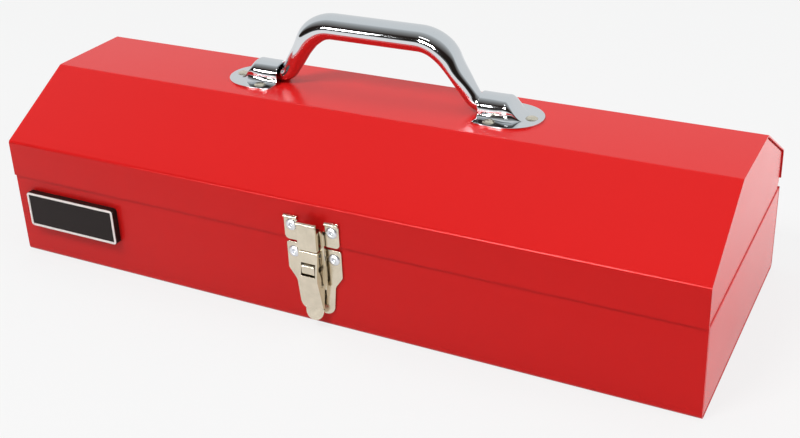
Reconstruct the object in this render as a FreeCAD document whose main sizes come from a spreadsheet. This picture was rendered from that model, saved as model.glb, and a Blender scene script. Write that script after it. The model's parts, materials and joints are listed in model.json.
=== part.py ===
"""A steel tool box: folded red body and hipped lid, full-length hinge, draw latch and chromed bail handle."""
import FreeCAD, Part
import math
import os
import Sketcher

os.makedirs("parts", exist_ok=True)
doc = FreeCAD.newDocument("steel_tool_box")
V = FreeCAD.Vector

# Driving dimensions, in millimetres. A rise or a drop is counted from the seam between lid and body,
# and a reach is counted outwards from the lid's front.
DIMENSIONS = {
    "box_length": 482.6,
    "box_depth": 184.0,
    "seam_height": 59.5,
    "lip_height": 25.4,
    "slope_depth": 60.3,
    "slope_rise": 35.1,
    "sheet": 0.9,
    "lid_clearance": 0.3,
    "end_recess": 0.9,
    "end_bend": 1.6,
    "end_gap": 0.2,
    "ledge_gap": 0.3,
    "rim_overlap": 6.5,
    "body_bend": 3.0,
    "lid_bend": 2.8,
    "end_flange": 8.0,
    "weld_gap": 0.05,
    "flange_lift": 1.2,
    "hem_width": 8.0,
    "hem_gap": 1.5,
    "hinge_relief": 5.7,
    "hinge_inset": 13.3,
    "hinge_barrel": 2.5,
    "hinge_pin_radius": 1.2,
    "hinge_fit": 0.07,
    "barrel_gap": 0.1,
    "knuckle_clear": 0.5,
    "knuckle_width": 18.4,
    "knuckle_gap": 0.6,
    "leaf_width": 14.0,
    "leaf_gap": 0.8,
    "plate": 1.2,
    "latch_ear": 19.2,
    "ear_corner": 3.0,
    "keeper_rise": 15.9,
    "keeper_drop": 0.9,
    "lip_radius": 1.25,
    "window_side": 0.3,
    "hook_rise": 9.1,
    "tongue_half": 6.5,
    "tongue_reach": 7.4,
    "tongue_drop": 3.0,
    "rivet_inset": 5.0,
    "rivet_radius": 1.6,
    "rivet_fit": 0.1,
    "rivet_head": 3.9,
    "rivet_head_height": 1.3,
    "rivet_dome": 0.9,
    "rivet_tail": 2.6,
    "rivet_tail_length": 1.4,
    "rivet_hole": 1.0,
    "keeper_rivet_rise": 9.4,
    "base_rivet_drop": 9.7,
    "base_top_drop": 3.3,
    "base_top_corner": 1.5,
    "base_shoulder_drop": 22.0,
    "base_shoulder_round": 3.0,
    "base_waist_drop": 29.5,
    "base_waist_half": 13.8,
    "base_waist_round": 6.0,
    "base_foot_half": 11.8,
    "base_foot_drop": 50.0,
    "base_foot_round": 6.5,
    "pivot_drop": 6.9,
    "pivot_reach": 3.4,
    "pivot_radius": 1.1,
    "pivot_fit": 0.06,
    "pin_stand": 0.2,
    "lug_round": 1.6,
    "lug_gap": 0.3,
    "lever_half": 6.3,
    "lever_wide": 6.7,
    "lever_foot_half": 6.0,
    "lever_top_drop": 4.1,
    "lever_top_reach": 6.4,
    "lever_brow_drop": 19.0,
    "lever_brow_reach": 8.7,
    "lever_knee_drop": 23.0,
    "lever_knee_reach": 9.3,
    "lever_fold_drop": 45.5,
    "lever_fold_reach": 3.4,
    "lever_round": 1.1,
    "neck_reach": 2.2,
    "neck_drop": 11.0,
    "neck_slope": 2.0,
    "wall_reach": 0.8,
    "heel_drop": 31.5,
    "tab_drop": 52.9,
    "tab_reach": 5.6,
    "tab_half": 6.45,
    "tab_round": 6.2,
    "slot_top_drop": 11.5,
    "slot_bottom_drop": 20.2,
    "slot_land": 0.1,
    "slot_side": 0.4,
    "slot_over": 1.1,
    "slot_under": 0.8,
    "staple_reach": 8.5,
    "staple_bend": 1.4,
    "padlock_reach": 4.2,
    "padlock_hole": 2.2,
    "loop_pivot_drop": 28.3,
    "loop_reach": 2.6,
    "loop_pin_radius": 1.1,
    "loop_side": 0.7,
    "loop_strip": 2.0,
    "loop_thick": 1.6,
    "loop_over": 0.2,
    "loop_bar": 2.3,
    "loop_shoulder": 4.4,
    "loop_foot": 2.0,
    "foot_radius": 5.8,
    "foot_under": 0.7,
    "foot_over": 0.5,
    "foot_side": 2.8,
    "foot_gap": 0.5,
    "foot_lead": 4.3,
    "foot_bend": 9.0,
    "grip_half": 44.2,
    "grip_rise": 43.7,
    "grip_width": 20.0,
    "grip_thick": 17.0,
    "grip_bend": 25.0,
    "leg_width": 18.0,
    "leg_thick": 12.4,
    "bracket_inner": 73.0,
    "bracket_length": 40.0,
    "bracket_half": 20.5,
    "bracket_corner": 3.0,
    "bracket_waist": 15.0,
    "bracket_round": 11.0,
    "bracket_tip_half": 9.5,
    "bracket_tip_round": 8.5,
    "bracket_rivet_back": 7.5,
    "bracket_rivet_step": 10.0,
    "bracket_rivet_edge": 6.3,
    "tunnel_length": 18.5,
    "tunnel_slope": 9.9,
    "tunnel_round": 6.5,
    "badge_inset": 9.6,
    "badge_length": 75.1,
    "badge_bottom": 24.4,
    "badge_height": 25.8,
    "badge_thick": 4.6,
    "badge_corner": 2.4,
    "badge_margin": 0.3,
    "badge_border": 1.5,
    "badge_border_thick": 0.4,
    "tray_drop": 3.0,
    "tray_height": 26.0,
    "tray_width": 122.0,
    "tray_clearance": 2.85,
    "tray_sheet": 0.8,
    "tray_corner": 3.0,
    "ledge_overlap": 5.4,
    "ledge_margin": 4.0,
    "ledge_drop": 12.0,
    "tray_strap": 14.0,
    "tray_strap_half": 48.0,
    "tray_strap_rise": 49.0,
    "tray_strap_foot": 12.0,
    "tray_strap_bend": 4.0,
}
sheet_obj = doc.addObject("Spreadsheet::Sheet", "Dims")
for row, (name, value) in enumerate(DIMENSIONS.items(), start=1):
    sheet_obj.set("A%d" % row, name)
    sheet_obj.set("B%d" % row, repr(value))
    sheet_obj.setAlias("B%d" % row, name)
doc.recompute()

# How far a cut runs past the material, and how far a joined form sinks into its neighbour
PAST = "1"
MERGE = "0.1"
# How close two lengths must be to count as one, and two directions to count as parallel
CLOSE = 0.05
PARALLEL = 0.999

X_AXIS = V(1, 0, 0)
Y_AXIS = V(0, 1, 0)
Z_AXIS = V(0, 0, 1)
PLANES = {"X": "YZ_Plane", "Y": "XZ_Plane", "Z": "XY_Plane"}


def size(name):
    """Value of a driving dimension as it stands in the sheet."""
    return float(sheet_obj.get(name))


def cells(text):
    """Expression text with every dimension's name pointed at its cell in the sheet."""
    words = []
    word = ""
    for letter in text + " ":
        if letter.isalnum() or letter == "_":
            word += letter
            continue
        words.append("Dims." + word if word in DIMENSIONS else word)
        words.append(letter)
        word = ""
    return "".join(words).strip()


def bind(item, prop, text):
    """Tie one property to an expression over the sheet."""
    item.setExpression(prop, cells(text))


probe = doc.addObject("App::FeaturePython", "Probe")
probe.addProperty("App::PropertyFloat", "number")


def value_of(text):
    """Number that an expression gives now."""
    bind(probe, "number", text)
    probe.recompute()
    return probe.number


def rise(name):
    """Height of a place that a dimension puts above the seam."""
    return f"(seam_height + {name})"


def drop(name):
    """Height of a place that a dimension puts below the seam."""
    return f"(seam_height - {name})"


def out(name):
    """Place along Y that a dimension puts in front of the lid's front."""
    return f"(-(box_depth / 2 + {name}))"


def new_body(label):
    """An empty body that may hold several separate solids, such as a group of rivets."""
    body = doc.addObject("PartDesign::Body", label)
    body.Label = label
    body.AllowCompound = True
    return body


def sketch_on(body, axis, start):
    """A sketch square to an axis. On Y the sheet faces the front, so start counts towards -Y."""
    sketch = body.newObject("Sketcher::SketchObject", body.Label + "_sketch")
    plane = [p for p in body.Origin.OriginFeatures if p.Role == PLANES[axis]][0]
    sketch.AttachmentSupport = [(plane, "")]
    sketch.MapMode = "FlatFace"
    bind(sketch, "AttachmentOffset.Base.z", start)
    return sketch


def place_point(sketch, geometry, point, place):
    """Hold one point of a sketch at two expressions, measured from the sketch's origin."""
    for kind, text in zip(("DistanceX", "DistanceY"), place):
        number = sketch.addConstraint(Sketcher.Constraint(kind, -1, 1, geometry, point, 1.0))
        bind(sketch, f"Constraints[{number}]", text)


def polygon(sketch, corners):
    """Closed outline of straight runs through corners, each a pair of expressions."""
    points = [V(value_of(a), value_of(b), 0) for a, b in corners]
    count = len(points)
    for number in range(count):
        sketch.addGeometry(Part.LineSegment(points[number], points[(number + 1) % count]), False)
    for number in range(count):
        sketch.addConstraint(Sketcher.Constraint("Coincident", number, 2, (number + 1) % count, 1))
        place_point(sketch, number, 1, corners[number])


def circle(sketch, centre, radius):
    """Circle about a pair of expressions, with its radius bound too."""
    middle = V(value_of(centre[0]), value_of(centre[1]), 0)
    number = sketch.addGeometry(Part.Circle(middle, V(0, 0, 1), value_of(radius)), False)
    place_point(sketch, number, 3, centre)
    held = sketch.addConstraint(Sketcher.Constraint("Radius", number, value_of(radius)))
    bind(sketch, f"Constraints[{held}]", radius)


def swept(body, kind, axis, start, end, draw):
    """Pad or pocket from start to end along an axis, with draw making the outline."""
    sketch = sketch_on(body, axis, start)
    draw(sketch)
    feature = body.newObject("PartDesign::" + kind, body.Label + "_" + kind.lower())
    feature.Profile = sketch
    bind(feature, "Length", f"({end}) - ({start})")
    feature.Reversed = kind == "Pocket"
    sketch.Visibility = False
    doc.recompute()
    return feature


def pad(body, axis, start, end, corners):
    return swept(body, "Pad", axis, start, end, lambda sketch: polygon(sketch, corners))


def pocket(body, axis, start, end, corners):
    return swept(body, "Pocket", axis, start, end, lambda sketch: polygon(sketch, corners))


def round_pad(body, axis, start, end, centre, radius):
    return swept(body, "Pad", axis, start, end, lambda sketch: circle(sketch, centre, radius))


def round_pocket(body, axis, start, end, centre, radius):
    return swept(body, "Pocket", axis, start, end, lambda sketch: circle(sketch, centre, radius))


def across(half):
    """Start and end of a form that is centred on the box, from its half width."""
    return f"-({half})", f"({half})"


def side_span(side, inner, outer):
    """Start and end along X of a form that lies between two distances from the middle, on one side."""
    return (inner, outer) if side > 0 else ("-" + outer, "-" + inner)


def rectangle(low_a, high_a, low_b, high_b):
    """Four corners of an upright rectangle."""
    return [(low_a, low_b), (high_a, low_b), (high_a, high_b), (low_a, high_b)]


def mirrored(half):
    """Whole outline from its right half, whose points start and end at any distance from the middle."""
    return half + [(f"-({a})", b) for a, b in reversed(half)]


def rounded(half, level, radius, up):
    """Short runs round a corner of an outline, from its side to its top or, with up -1, to its bottom."""
    corner = []
    for angle in range(0, 91, 15):
        aside = 1 - math.cos(math.radians(angle))
        short = up * (1 - math.sin(math.radians(angle)))
        corner.append((f"({half} - {radius} * {aside:.4f})", f"({level} - {radius} * ({short:.4f}))"))
    return corner


def fillet(body, radius, test):
    """Round the edges of the body's last feature that pass a test."""
    base = body.Tip
    edges = [f"Edge{number}" for number, edge in enumerate(base.Shape.Edges, start=1) if test(edge)]
    feature = body.newObject("PartDesign::Fillet", body.Label + "_fillet")
    feature.Base = (base, edges)
    bind(feature, "Radius", radius)
    doc.recompute()
    return feature


def hollow(body, wall, test):
    """Turn the body into a shell of one wall, open at the faces that pass a test."""
    base = body.Tip
    faces = [f"Face{number}" for number, face in enumerate(base.Shape.Faces, start=1) if test(face)]
    feature = body.newObject("PartDesign::Thickness", body.Label + "_hollow")
    feature.Base = (base, faces)
    bind(feature, "Value", wall)
    feature.Mode = 0
    feature.Join = 0
    feature.Reversed = True
    doc.recompute()
    return feature


def edge_at(axis, test=lambda centre: True):
    """Test for a straight edge along an axis whose middle passes a test of its own."""
    def passes(edge):
        if not isinstance(edge.Curve, Part.Line):
            return False
        if abs(edge.tangentAt(edge.FirstParameter).dot(axis)) < PARALLEL:
            return False
        return test(edge.CenterOfMass)
    return passes


def near(level, text):
    """Whether a level is the one that an expression gives."""
    return abs(level - value_of(text)) < CLOSE


def flat_towards(face, *normals):
    """Whether a face is flat and looks one of the ways given."""
    if not isinstance(face.Surface, Part.Plane):
        return False
    return any(face.normalAt(0, 0).dot(normal) > PARALLEL for normal in normals)


def looks_down(face):
    """Whether a face is flat and looks down, level or slanted."""
    return isinstance(face.Surface, Part.Plane) and face.normalAt(0, 0).z < -0.5


# Places that several pieces share
STEP = "(sheet + lid_clearance)"
BODY_BACK = f"(box_depth / 2 - {STEP})"
BODY_END = f"(box_length / 2 - end_recess - {STEP})"
END_OUTER = f"({BODY_END} - end_recess / 2)"
END_INNER = f"({END_OUTER} - sheet)"
PAN_OUTER = "(box_length / 2 - end_gap)"
PAN_TOP = "(seam_height - ledge_gap)"
RIM = "(seam_height + rim_overlap)"
LIP_TOP = "(seam_height + lip_height)"
TOP = f"({LIP_TOP} + slope_rise)"
TOP_HALF = "(box_depth / 2 - slope_depth)"
SLOPE = "atan(slope_rise / slope_depth)"
LID_FRONT = "(box_depth / 2)"
HINGE_HALF = "(box_length / 2 - hinge_inset)"
BARREL = (f"({BODY_BACK} + hinge_barrel + barrel_gap)",
          "(seam_height + hinge_relief - hinge_barrel - knuckle_clear)")
PLATE_FRONT = f"({LID_FRONT} + plate)"
BASE_FRONT = f"({BODY_BACK} + plate)"
RIVET_BORE = "rivet_radius + rivet_fit"
PIVOT = (out("pivot_reach"), drop("pivot_drop"))
LOOP_PIVOT = (out("loop_reach"), drop("loop_pivot_drop"))
LOOP_INNER = "(lever_wide + loop_side)"
LOOP_OUTER = f"({LOOP_INNER} + loop_strip)"
SLOT_HALF = "(lever_half - plate - slot_land)"
STAPLE_LOW = f"({drop('slot_bottom_drop')} + slot_under)"
STAPLE_HIGH = f"({drop('slot_top_drop')} - slot_over)"
BRACKET_OUTER = "(bracket_inner + bracket_length)"
TUNNEL_OUTER = "(bracket_inner + tunnel_length)"
TUNNEL_HALF = "(foot_radius + foot_side + plate)"
FOOT_INNER = "(bracket_inner - foot_lead)"
FOOT_OUTER = f"({TUNNEL_OUTER} - foot_gap)"
FOOT_LEVEL = f"({TOP} + foot_under + foot_radius)"
TUNNEL_TOP = f"({FOOT_LEVEL} + foot_radius + foot_over + plate)"
TRAY_FLOOR = f"({RIM} - tray_drop - tray_height)"
TRAY_HALF = f"({END_INNER} - end_flange - tray_clearance)"


def latch_rivets(height):
    """Centres of a pair of rivets, seen from the front."""
    return [("-(latch_ear - rivet_inset)", height), ("latch_ear - rivet_inset", height)]


def bracket_rivets(sign):
    """Centres of one bracket's three rivets, seen from above."""
    back = f"{sign}({BRACKET_OUTER} - bracket_rivet_back)"
    front = f"{sign}(bracket_inner + bracket_rivet_step)"
    side = "(bracket_half - bracket_rivet_edge)"
    return [(back, "0"), (front, side), (front, "-" + side)]


KEEPER_RIVETS = latch_rivets(rise("keeper_rivet_rise"))
BASE_RIVETS = latch_rivets(drop("base_rivet_drop"))


def make_body_wrap():
    """Front, bottom and back of the body, one folded sheet with its top edges hemmed inside."""
    body = new_body("body_wrap")
    pad(body, "X", *across(PAN_OUTER), rectangle(*across(BODY_BACK), "0", RIM))
    fillet(body, "body_bend", edge_at(X_AXIS, lambda c: near(c.z, "0")))
    hollow(body, "sheet", lambda face: flat_towards(face, X_AXIS, -X_AXIS, Z_AXIS))
    for side in (-1, 1):
        step = rectangle(*across("box_depth"), PAN_TOP, f"{RIM} + {PAST}")
        pocket(body, "X", *side_span(side, BODY_END, f"({PAN_OUTER} + {PAST})"), step)
    inside = f"({BODY_BACK} - sheet)"
    hem_half = f"({END_INNER} - end_flange - hem_gap)"
    for near_side, far_side in ((f"-{inside}", f"-({inside} - sheet)"), (f"({inside} - sheet)", inside)):
        hem = rectangle(near_side, far_side, f"{RIM} - hem_width", RIM)
        pad(body, "X", *across(hem_half), hem)
    for centre in BASE_RIVETS:
        round_pocket(body, "Y", f"{BODY_BACK} - sheet - {PAST}", f"{BODY_BACK} + {PAST}", centre, RIVET_BORE)
    return body


def end_borders(outer, lowest):
    """Test for the edges round an end panel's outer face, down to a lowest level."""
    def passes(edge):
        centre = edge.CenterOfMass
        return near(abs(centre.x), outer) and centre.z > value_of(lowest)
    return passes


def make_body_end(label, side):
    """End of the body: a pan welded inside the folded sheet, stepped in at its top to pass inside the lid."""
    body = new_body(label)
    half = f"({BODY_BACK} - sheet - weld_gap)"
    inner = f"({PAN_OUTER} - sheet - end_flange)"
    pad(body, "X", *side_span(side, inner, PAN_OUTER), rectangle(*across(half), "sheet + weld_gap", PAN_TOP))
    fillet(body, "body_bend - sheet", edge_at(X_AXIS, lambda c: near(c.z, "sheet + weld_gap")))
    fillet(body, "end_bend", end_borders(PAN_OUTER, "0"))
    hollow(body, "sheet", lambda face: flat_towards(face, X_AXIS * -side))
    shelf = rectangle(*across(f"({half} - sheet)"), f"{PAN_TOP} - sheet - {PAST}", f"{PAN_TOP} + {PAST}")
    pocket(body, "X", *side_span(side, f"({inner} - {PAST})", END_INNER), shelf)
    wall = rectangle(*across(half), f"{PAN_TOP} - sheet", RIM)
    pad(body, "X", *side_span(side, END_INNER, END_OUTER), wall)
    return body


def lid_outline(inset, chamfer):
    """Hipped outline of the lid seen from its end, with its outer line taken in by an inset."""
    lip = f"(box_depth / 2 - {inset})"
    lip_top = f"({LIP_TOP} - {inset} * (1 - sin({SLOPE})) / cos({SLOPE}))"
    flat = f"({TOP_HALF} - {inset} * tan({SLOPE} / 2))"
    top = f"({TOP} - {inset})"
    corners = [("-" + lip, "seam_height"), ("-" + lip, lip_top), ("-" + flat, top), (flat, top)]
    corners += [(lip, lip_top), (lip, "seam_height + hinge_relief")]
    if chamfer:
        corners.append((lip + " - hinge_relief", "seam_height"))
    return corners


def lid_bends(centre):
    """Whether an edge's middle lies as high as the lid's four bends."""
    return centre.z > value_of(f"{LIP_TOP} - sheet - weld_gap")


def make_lid_wrap():
    """Front lip, slopes, flat top and back lip of the lid, one folded sheet."""
    body = new_body("lid_wrap")
    pad(body, "X", *across("box_length / 2"), lid_outline("0", False))
    fillet(body, "lid_bend", edge_at(X_AXIS, lid_bends))
    hollow(body, "sheet", lambda face: flat_towards(face, X_AXIS, -X_AXIS) or looks_down(face))
    for centre in KEEPER_RIVETS:
        round_pocket(body, "Y", f"{LID_FRONT} - sheet - {PAST}", f"{LID_FRONT} + {PAST}", centre, RIVET_BORE)
    for centre in bracket_rivets("-") + bracket_rivets(""):
        round_pocket(body, "Z", f"{TOP} - sheet - {PAST}", f"{TOP} + {PAST}", centre, RIVET_BORE)
    return body


def make_lid_end(label, side):
    """End of the lid, set just inside the folded sheet, flanged above the body's rim."""
    body = new_body(label)
    outer = "(box_length / 2 - end_recess)"
    plate = f"({outer} - sheet)"
    inner = f"({plate} - end_flange)"
    pad(body, "X", *side_span(side, inner, outer), lid_outline("(sheet + weld_gap)", True))
    fillet(body, "lid_bend - sheet", edge_at(X_AXIS, lid_bends))
    fillet(body, "end_bend", end_borders(outer, "(seam_height + hinge_relief)"))
    hollow(body, "sheet", lambda face: flat_towards(face, X_AXIS * -side) or looks_down(face))
    trim = rectangle("-box_depth", "box_depth", "0", f"{RIM} + flange_lift")
    pocket(body, "X", *side_span(side, f"({inner} - {PAST})", plate), trim)
    return body


def make_hinge_leaf(label, on_lid):
    """One leaf of the full-length hinge, a strip with every other knuckle."""
    body = new_body(label)
    pitch = "(2 * (knuckle_width + knuckle_gap))"
    count = int(value_of(f"(2 * {HINGE_HALF} + knuckle_gap) / {pitch}") + CLOSE)
    if on_lid:
        back = LID_FRONT
        low = "(seam_height + hinge_relief + leaf_gap)"
        high = f"({low} + leaf_width)"
        web = (BARREL[1], f"{low} + {MERGE}")
        first = "knuckle_width + knuckle_gap"
    else:
        back = BODY_BACK
        high = f"({BARREL[1]} - hinge_barrel - knuckle_clear)"
        low = f"({high} - leaf_width)"
        web = (f"{high} - {MERGE}", BARREL[1])
        first = "0"
    front = f"({back} + sheet)"
    pad(body, "X", *across(HINGE_HALF), rectangle(back, front, low, high))
    for number in range(count):
        start = f"(-{HINGE_HALF} + {first} + {number} * {pitch})"
        end = f"({start} + knuckle_width)"
        round_pad(body, "X", start, end, BARREL, "hinge_barrel")
        pad(body, "X", start, end, rectangle(back, front, *web))
    round_pocket(body, "X", *across("box_length / 2"), BARREL, "hinge_pin_radius + hinge_fit")
    return body


def make_hinge_pin():
    """Wire that runs through all the knuckles."""
    body = new_body("hinge_pin")
    round_pad(body, "X", *across(HINGE_HALF), BARREL, "hinge_pin_radius")
    return body


def make_rivets(label, axis, tail_side, head_base, places):
    """Blind rivets: a low domed head, a shank through the sheets and a tail set inside."""
    body = new_body(label)
    top = f"({head_base} + rivet_head_height)"
    for centre in places:
        round_pad(body, axis, f"{tail_side} - {MERGE}", f"{head_base} + {MERGE}", centre, "rivet_radius")
        round_pad(body, axis, f"{tail_side} - rivet_tail_length", tail_side, centre, "rivet_tail")
        round_pad(body, axis, head_base, top, centre, "rivet_head")
    level = value_of(top)
    rim = size("rivet_head")
    direction = -Y_AXIS if axis == "Y" else Z_AXIS

    def head_edge(edge):
        flat = abs(edge.CenterOfMass.dot(direction) - level) < CLOSE
        return flat and isinstance(edge.Curve, Part.Circle) and abs(edge.Curve.Radius - rim) < CLOSE
    fillet(body, "rivet_dome", head_edge)
    for centre in places:
        round_pocket(body, axis, f"{head_base} - {PAST}", f"{top} + {PAST}", centre, "rivet_hole")
    return body


def make_keeper():
    """Catch on the lid: two riveted ears joined by a raised channel, all with rolled top edges."""
    body = new_body("keeper")
    low, top = drop("keeper_drop"), rise("keeper_rise")
    pad(body, "Y", LID_FRONT, PLATE_FRONT, rectangle(*across("latch_ear"), low, top))
    ear_foot = lambda c: near(abs(c.x), "latch_ear") and near(c.z, low)
    fillet(body, "ear_corner", edge_at(Y_AXIS, ear_foot))
    window_half = f"({LOOP_OUTER} + window_side)"
    hook = rise("hook_rise")
    pocket(body, "Y", f"{LID_FRONT} - {PAST}", f"{PLATE_FRONT} + {PAST}",
           rectangle(*across(window_half), hook, f"{top} + {PAST}"))
    front = f"({LID_FRONT} + tongue_reach)"
    inside = "(tongue_half - plate)"
    tongue_low = drop("tongue_drop")
    pad(body, "Y", LID_FRONT, front, rectangle(*across("tongue_half"), tongue_low, hook))
    pad(body, "Y", f"{front} - plate", front, rectangle(*across("tongue_half"), f"{hook} - {MERGE}", top))
    pocket(body, "Y", f"{LID_FRONT} - {PAST}", f"{front} - plate",
           rectangle(*across(inside), f"{tongue_low} - {PAST}", f"{hook} + {PAST}"))
    roll_level = f"{top} - lip_radius"
    round_pad(body, "X", *across("tongue_half"), (out("tongue_reach"), roll_level), "lip_radius")
    for start, end in (("-latch_ear", "-" + window_half), (window_half, "latch_ear")):
        round_pad(body, "X", start, end, (out("plate"), roll_level), "lip_radius - " + MERGE)
    for centre in KEEPER_RIVETS:
        round_pocket(body, "Y", f"{LID_FRONT} - {PAST}", f"{PLATE_FRONT} + {PAST}", centre, RIVET_BORE)
    return body


def make_latch_base():
    """Base of the latch on the body: a shouldered plate with two lugs for the lever's pivot."""
    body = new_body("latch_base")
    top, shoulder = drop("base_top_drop"), drop("base_shoulder_drop")
    waist, foot = drop("base_waist_drop"), drop("base_foot_drop")
    half = [("latch_ear", top), ("latch_ear", shoulder), ("base_waist_half", waist), ("base_foot_half", foot)]
    pad(body, "Y", BODY_BACK, BASE_FRONT, mirrored(half))
    for level, radius in ((top, "base_top_corner"), (shoulder, "base_shoulder_round"),
                          (waist, "base_waist_round"), (foot, "base_foot_round")):
        fillet(body, radius, edge_at(Y_AXIS, lambda c: near(c.z, level)))
    reach = f"({LID_FRONT} + pivot_reach + lug_round)"
    low, high = f"{PIVOT[1]} - lug_round", f"{PIVOT[1]} + lug_round"
    outer = "(lever_half - plate - lug_gap)"
    for start, end in ((f"-{outer}", f"-({outer} - plate)"), (f"({outer} - plate)", outer)):
        pad(body, "Y", f"{BASE_FRONT} - {MERGE}", reach, rectangle(start, end, low, high))
    fillet(body, f"lug_round - {MERGE}", edge_at(X_AXIS, lambda c: near(-c.y, reach)))
    round_pocket(body, "X", *across(f"{outer} + {PAST}"), PIVOT, "pivot_radius + pivot_fit")
    for centre in BASE_RIVETS:
        round_pocket(body, "Y", f"{BODY_BACK} - {PAST}", f"{BASE_FRONT} + {PAST}", centre, RIVET_BORE)
    return body


def make_padlock_staple():
    """Strip bent into a square eye that fills the lever's slot, open to the sides for a padlock."""
    body = new_body("padlock_staple")
    half = f"{SLOT_HALF} - slot_side"
    front = out("staple_reach")
    pad(body, "X", *across(half), rectangle(front, f"-{BASE_FRONT}", STAPLE_LOW, STAPLE_HIGH))
    fillet(body, "staple_bend", edge_at(X_AXIS, lambda c: near(c.y, front)))
    eye = rectangle(f"{front} + plate", f"-{BASE_FRONT} + {PAST}", f"{STAPLE_LOW} + plate",
                    f"{STAPLE_HIGH} - plate")
    pocket(body, "X", *across(f"{half} + {PAST}"), eye)
    return body


def make_latch_lever():
    """Lever of the latch: a kneed channel, slotted for the staple, ending in a thumb tab bent outwards."""
    body = new_body("latch_lever")
    top, fold = drop("lever_top_drop"), drop("lever_fold_drop")
    knee, neck = drop("lever_knee_drop"), drop("neck_drop")
    tab_foot = drop("tab_drop")
    tab = [(out("lever_fold_reach"), fold), (out("tab_reach"), tab_foot),
           (out("tab_reach - plate"), tab_foot), (out("lever_fold_reach - plate"), fold)]
    pad(body, "X", *across("tab_half"), tab)
    face = [("lever_top_reach", top), ("lever_brow_reach", drop("lever_brow_drop")),
            ("lever_knee_reach", knee), ("lever_fold_reach", fold)]
    back = [("(lever_fold_reach - plate)", fold), ("wall_reach", drop("heel_drop")),
            ("wall_reach", f"({neck} - neck_slope)"), ("neck_reach", neck), ("neck_reach", top)]
    pad(body, "X", *across("lever_wide"), [(out(reach), level) for reach, level in face + back])
    crest = lambda c: near(c.z, top) and near(c.y, out("lever_top_reach"))
    fillet(body, "lever_round", edge_at(X_AXIS, crest))
    nearest, farthest = f"{LID_FRONT} - {PAST}", f"{LID_FRONT} + lever_knee_reach + {PAST}"
    beyond = f"lever_wide + {PAST}"
    corner = rounded("tab_half", tab_foot, "tab_round", -1)
    corner += [("tab_half - tab_round", f"{tab_foot} - {PAST}"), (beyond, f"{tab_foot} - {PAST}"),
               (beyond, f"{tab_foot} + tab_round")]
    sides = [("lever_half", f"{top} + {PAST}"), ("lever_half", drop("lever_brow_drop")), ("lever_wide", knee),
             ("lever_foot_half", fold), (beyond, fold), (beyond, f"{top} + {PAST}")]
    for cut in (sides, corner):
        pocket(body, "Y", nearest, farthest, cut)
        pocket(body, "Y", nearest, farthest, [(f"-({x})", level) for x, level in cut])
    inner = [(out(f"{reach} - plate"), level) for reach, level in face]
    inner[0] = (inner[0][0], f"{top} + {PAST}")
    inner += [(f"-{nearest}", fold), (f"-{nearest}", f"{top} + {PAST}")]
    pocket(body, "X", *across("lever_half - plate"), inner)
    slot = rectangle(*across(SLOT_HALF), drop("slot_bottom_drop"), drop("slot_top_drop"))
    pocket(body, "Y", nearest, farthest, slot)
    bores = [(PIVOT, "pivot_radius + pivot_fit"), (LOOP_PIVOT, "loop_pin_radius + pivot_fit")]
    bores.append(((out("padlock_reach"), f"({STAPLE_LOW} + {STAPLE_HIGH}) / 2"), "padlock_hole"))
    for centre, radius in bores:
        round_pocket(body, "X", *across(beyond), centre, radius)
    return body


def make_lever_pivot_pin():
    """Pin through the base's lugs and the lever's sides, standing a little proud at each end."""
    body = new_body("lever_pivot_pin")
    round_pad(body, "X", *across("lever_half + pin_stand"), PIVOT, "pivot_radius")
    return body


def make_latch_loop():
    """Flat bail of the latch: a bar with sloped shoulders, two legs and a pin turned in at each foot."""
    body = new_body("latch_loop")
    middle = f"({LID_FRONT} + loop_reach)"
    back, front = f"({middle} - loop_thick / 2)", f"({middle} + loop_thick / 2)"
    under = f"({rise('hook_rise')} + loop_over)"
    top = f"({under} + loop_bar)"
    foot = f"({LOOP_PIVOT[1]} - loop_foot)"
    half = [(LOOP_OUTER, foot), (LOOP_OUTER, f"{top} - loop_shoulder"), ("tongue_half", top)]
    pad(body, "Y", back, front, mirrored(half))
    half = [(LOOP_INNER, f"{foot} - {PAST}"), (LOOP_INNER, f"{top} - loop_shoulder - loop_strip / 2"),
            (f"tongue_half + {MERGE}", under)]
    pocket(body, "Y", f"{back} - {PAST}", f"{front} + {PAST}", mirrored(half))
    pin_end = "(lever_foot_half - plate - pin_stand)"
    for start, end in ((f"-({LOOP_INNER} + {MERGE})", f"-{pin_end}"), (pin_end, f"{LOOP_INNER} + {MERGE}")):
        round_pad(body, "X", start, end, LOOP_PIVOT, "loop_pin_radius")
    return body


def handle_path():
    """Centre line of half the handle, from the foot's end to the grip's middle, as points with directions."""
    level = value_of(FOOT_LEVEL)
    grip = value_of(TOP) + size("grip_rise")
    foot, knee = value_of(FOOT_INNER), size("grip_half")
    slant = math.atan2(grip - level, foot - knee)
    lower = size("foot_bend") * math.tan(slant / 2)
    upper = size("grip_bend") * math.tan(slant / 2)
    leg = math.hypot(grip - level, foot - knee) - lower - upper
    runs = [(value_of(FOOT_OUTER) - foot - lower, 0), (size("foot_bend") * slant, slant), (leg, 0)]
    runs += [(size("grip_bend") * slant, -slant), (knee - upper, 0)]
    place, turn = V(value_of(FOOT_OUTER), 0, level), 0.0
    stations = [(place, turn)]
    for length, bend in runs:
        count = max(1, round(length / RUN))
        for _ in range(count):
            chord = length / count
            middle = turn + bend / count / 2
            if bend:
                radius = length / abs(bend)
                chord = 2 * radius * math.sin(abs(bend) / count / 2)
            place = place + V(-math.cos(middle), 0, math.sin(middle)) * chord
            turn = turn + bend / count
            stations.append((place, turn))
    return stations


# Shares of the handle's rise over which its section grows from foot to leg, and from leg to grip
LEG_GROWTH = (0.0, 0.55)
GRIP_GROWTH = (0.45, 0.9)
# Longest run between two of the handle's sections, and the roundest oval that still has a long way
RUN = 4.0
ROUNDEST = 0.99


def growth(share, span):
    """Smooth step from 0 to 1 as a share crosses a span."""
    step = min(1.0, max(0.0, (share - span[0]) / (span[1] - span[0])))
    return step * step * (3 - 2 * step)


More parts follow.
